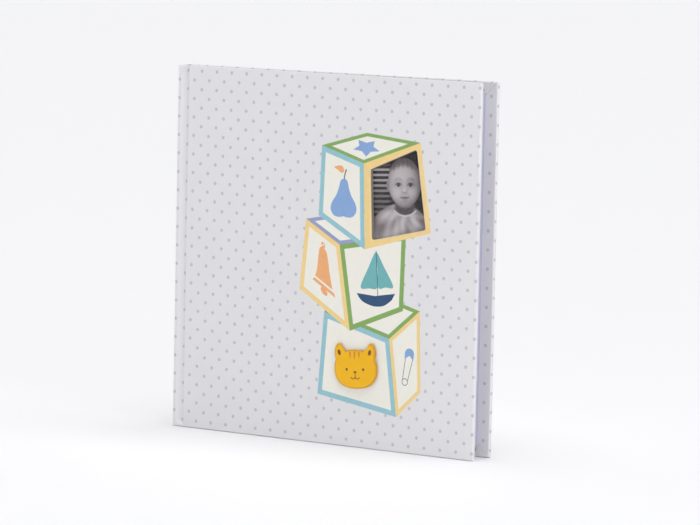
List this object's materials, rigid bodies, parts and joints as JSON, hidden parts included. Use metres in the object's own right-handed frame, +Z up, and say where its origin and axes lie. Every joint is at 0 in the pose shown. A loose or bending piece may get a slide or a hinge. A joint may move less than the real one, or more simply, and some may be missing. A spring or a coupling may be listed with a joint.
{
  "type": "scrapbook album",
  "caption": "Square case-bound scrapbook album standing slightly open, with card leaves, lavender endpapers, a photo window with a slide-in print and a raised cat badge",
  "frame": {"origin": "Centre of the bounding box at rest, on the plane that the tail edges of the covers stand on", "axes": "+Z up along the spine, +X from the spine to the fore-edge, the front cover faces -Y"},
  "size_m": [0.222, 0.0214, 0.222],
  "materials": {
    "cover_paper": "satin laminated printed paper, white with small lavender dots and toy-block artwork",
    "greyboard": "raw greyboard",
    "lining_paper": "rough kraft lining over gauze",
    "hot_melt_glue": "cloudy hot-melt binding glue",
    "page_card": "uncoated pale lavender card",
    "endpaper": "uncoated lavender paper",
    "clear_film": "thin clear acetate",
    "pocket_card": "uncoated white card",
    "photo_paper": "glossy black-and-white print",
    "badge_card": "embossed yellow card with printed cat face",
    "foam_pad": "white double-sided foam"
  },
  "bodies": {
    "spine": {"spine_board": "greyboard", "spine_cover_paper": "cover_paper", "spine_lining": "lining_paper", "binding_glue": "hot_melt_glue", "page_guards": "page_card", "front_joint_paper": "cover_paper", "back_joint_paper": "cover_paper", "front_endpaper_hinge": "endpaper", "back_endpaper_hinge": "endpaper"},
    "front_cover": {"front_board": "greyboard", "front_cover_paper": "cover_paper", "front_pastedown": "endpaper", "window_film": "clear_film", "photo_pocket": "pocket_card", "cat_badge": "badge_card", "badge_pads": "foam_pad"},
    "back_cover": {"back_board": "greyboard", "back_cover_paper": "cover_paper", "back_pastedown": "endpaper"},
    "photo_print": {"photo_print": "photo_paper"},
    "front_flyleaf": {"front_flyleaf": "endpaper"},
    "page_01": {"page_01": "page_card"},
    "page_02": {"page_02": "page_card"},
    "page_03": {"page_03": "page_card"},
    "page_04": {"page_04": "page_card"},
    "page_05": {"page_05": "page_card"},
    "page_06": {"page_06": "page_card"},
    "page_07": {"page_07": "page_card"},
    "page_08": {"page_08": "page_card"},
    "page_09": {"page_09": "page_card"},
    "page_10": {"page_10": "page_card"},
    "page_11": {"page_11": "page_card"},
    "page_12": {"page_12": "page_card"},
    "page_13": {"page_13": "page_card"},
    "page_14": {"page_14": "page_card"},
    "back_flyleaf": {"back_flyleaf": "endpaper"}
  },
  "joints": [
    {"name": "front_cover_hinge", "type": "hinge", "parent": "spine", "child": "front_cover", "pos_m": [-0.10587, -0.00173, 0.111], "axis": [0, 0, -1], "range_deg": [-2.4, 177.6], "deforming": ["front_joint_paper", "front_endpaper_hinge"]},
    {"name": "back_cover_hinge", "type": "hinge", "parent": "spine", "child": "back_cover", "pos_m": [-0.10587, 0.01082, 0.111], "axis": [0, 0, 1], "range_deg": [0, 180], "deforming": ["back_joint_paper", "back_endpaper_hinge"]},
    {"name": "photo_print_slide", "type": "slide", "parent": "front_cover", "child": "photo_print", "axis": [0, 0, 1], "range_m": [0, 0.07]},
    {"name": "front_flyleaf_turn", "type": "hinge", "parent": "spine", "child": "front_flyleaf", "pos_m": [-0.106, 0.00177, 0.111], "axis": [0, 0, -1], "range_deg": [-0.68, 49.74]},
    {"name": "page_01_turn", "type": "hinge", "parent": "spine", "child": "page_01", "pos_m": [-0.106, 0.00177, 0.111], "axis": [0, 0, -1], "range_deg": [-0.6, 43.52]},
    {"name": "page_02_turn", "type": "hinge", "parent": "spine", "child": "page_02", "pos_m": [-0.106, 0.00177, 0.111], "axis": [0, 0, -1], "range_deg": [-0.51, 37.31]},
    {"name": "page_03_turn", "type": "hinge", "parent": "spine", "child": "page_03", "pos_m": [-0.106, 0.00177, 0.111], "axis": [0, 0, -1], "range_deg": [-0.43, 31.09]},
    {"name": "page_04_turn", "type": "hinge", "parent": "spine", "child": "page_04", "pos_m": [-0.106, 0.00177, 0.111], "axis": [0, 0, -1], "range_deg": [-0.35, 24.87]},
    {"name": "page_05_turn", "type": "hinge", "parent": "spine", "child": "page_05", "pos_m": [-0.106, 0.00177, 0.111], "axis": [0, 0, -1], "range_deg": [-0.26, 18.66]},
    {"name": "page_06_turn", "type": "hinge", "parent": "spine", "child": "page_06", "pos_m": [-0.106, 0.00177, 0.111], "axis": [0, 0, -1], "range_deg": [-0.18, 12.44]},
    {"name": "page_07_turn", "type": "hinge", "parent": "spine", "child": "page_07", "pos_m": [-0.106, 0.00177, 0.111], "axis": [0, 0, -1], "range_deg": [-0.09, 6.23]},
    {"name": "page_08_turn", "type": "hinge", "parent": "spine", "child": "page_08", "pos_m": [-0.106, 0.00787, 0.111], "axis": [0, 0, 1], "range_deg": [0, 6.31]},
    {"name": "page_09_turn", "type": "hinge", "parent": "spine", "child": "page_09", "pos_m": [-0.106, 0.00787, 0.111], "axis": [0, 0, 1], "range_deg": [0, 12.61]},
    {"name": "page_10_turn", "type": "hinge", "parent": "spine", "child": "page_10", "pos_m": [-0.106, 0.00787, 0.111], "axis": [0, 0, 1], "range_deg": [0, 18.91]},
    {"name": "page_11_turn", "type": "hinge", "parent": "spine", "child": "page_11", "pos_m": [-0.106, 0.00787, 0.111], "axis": [0, 0, 1], "range_deg": [0, 25.21]},
    {"name": "page_12_turn", "type": "hinge", "parent": "spine", "child": "page_12", "pos_m": [-0.106, 0.00787, 0.111], "axis": [0, 0, 1], "range_deg": [0, 31.51]},
    {"name": "page_13_turn", "type": "hinge", "parent": "spine", "child": "page_13", "pos_m": [-0.106, 0.00787, 0.111], "axis": [0, 0, 1], "range_deg": [0, 37.81]},
    {"name": "page_14_turn", "type": "hinge", "parent": "spine", "child": "page_14", "pos_m": [-0.106, 0.00787, 0.111], "axis": [0, 0, 1], "range_deg": [0, 44.11]},
    {"name": "back_flyleaf_turn", "type": "hinge", "parent": "spine", "child": "back_flyleaf", "pos_m": [-0.106, 0.00787, 0.111], "axis": [0, 0, 1], "range_deg": [0, 50.41]}
  ],
  "couplings": [
    {"joint": "front_flyleaf_turn", "follows": "front_cover_hinge", "ratio": 0.28},
    {"joint": "page_01_turn", "follows": "front_cover_hinge", "ratio": 0.245},
    {"joint": "page_02_turn", "follows": "front_cover_hinge", "ratio": 0.21},
    {"joint": "page_03_turn", "follows": "front_cover_hinge", "ratio": 0.175},
    {"joint": "page_04_turn", "follows": "front_cover_hinge", "ratio": 0.14},
    {"joint": "page_05_turn", "follows": "front_cover_hinge", "ratio": 0.105},
    {"joint": "page_06_turn", "follows": "front_cover_hinge", "ratio": 0.07},
    {"joint": "page_07_turn", "follows": "front_cover_hinge", "ratio": 0.035},
    {"joint": "page_08_turn", "follows": "back_cover_hinge", "ratio": 0.035},
    {"joint": "page_09_turn", "follows": "back_cover_hinge", "ratio": 0.07},
    {"joint": "page_10_turn", "follows": "back_cover_hinge", "ratio": 0.105},
    {"joint": "page_11_turn", "follows": "back_cover_hinge", "ratio": 0.14},
    {"joint": "page_12_turn", "follows": "back_cover_hinge", "ratio": 0.175},
    {"joint": "page_13_turn", "follows": "back_cover_hinge", "ratio": 0.21},
    {"joint": "page_14_turn", "follows": "back_cover_hinge", "ratio": 0.245},
    {"joint": "back_flyleaf_turn", "follows": "back_cover_hinge", "ratio": 0.28}
  ]
}
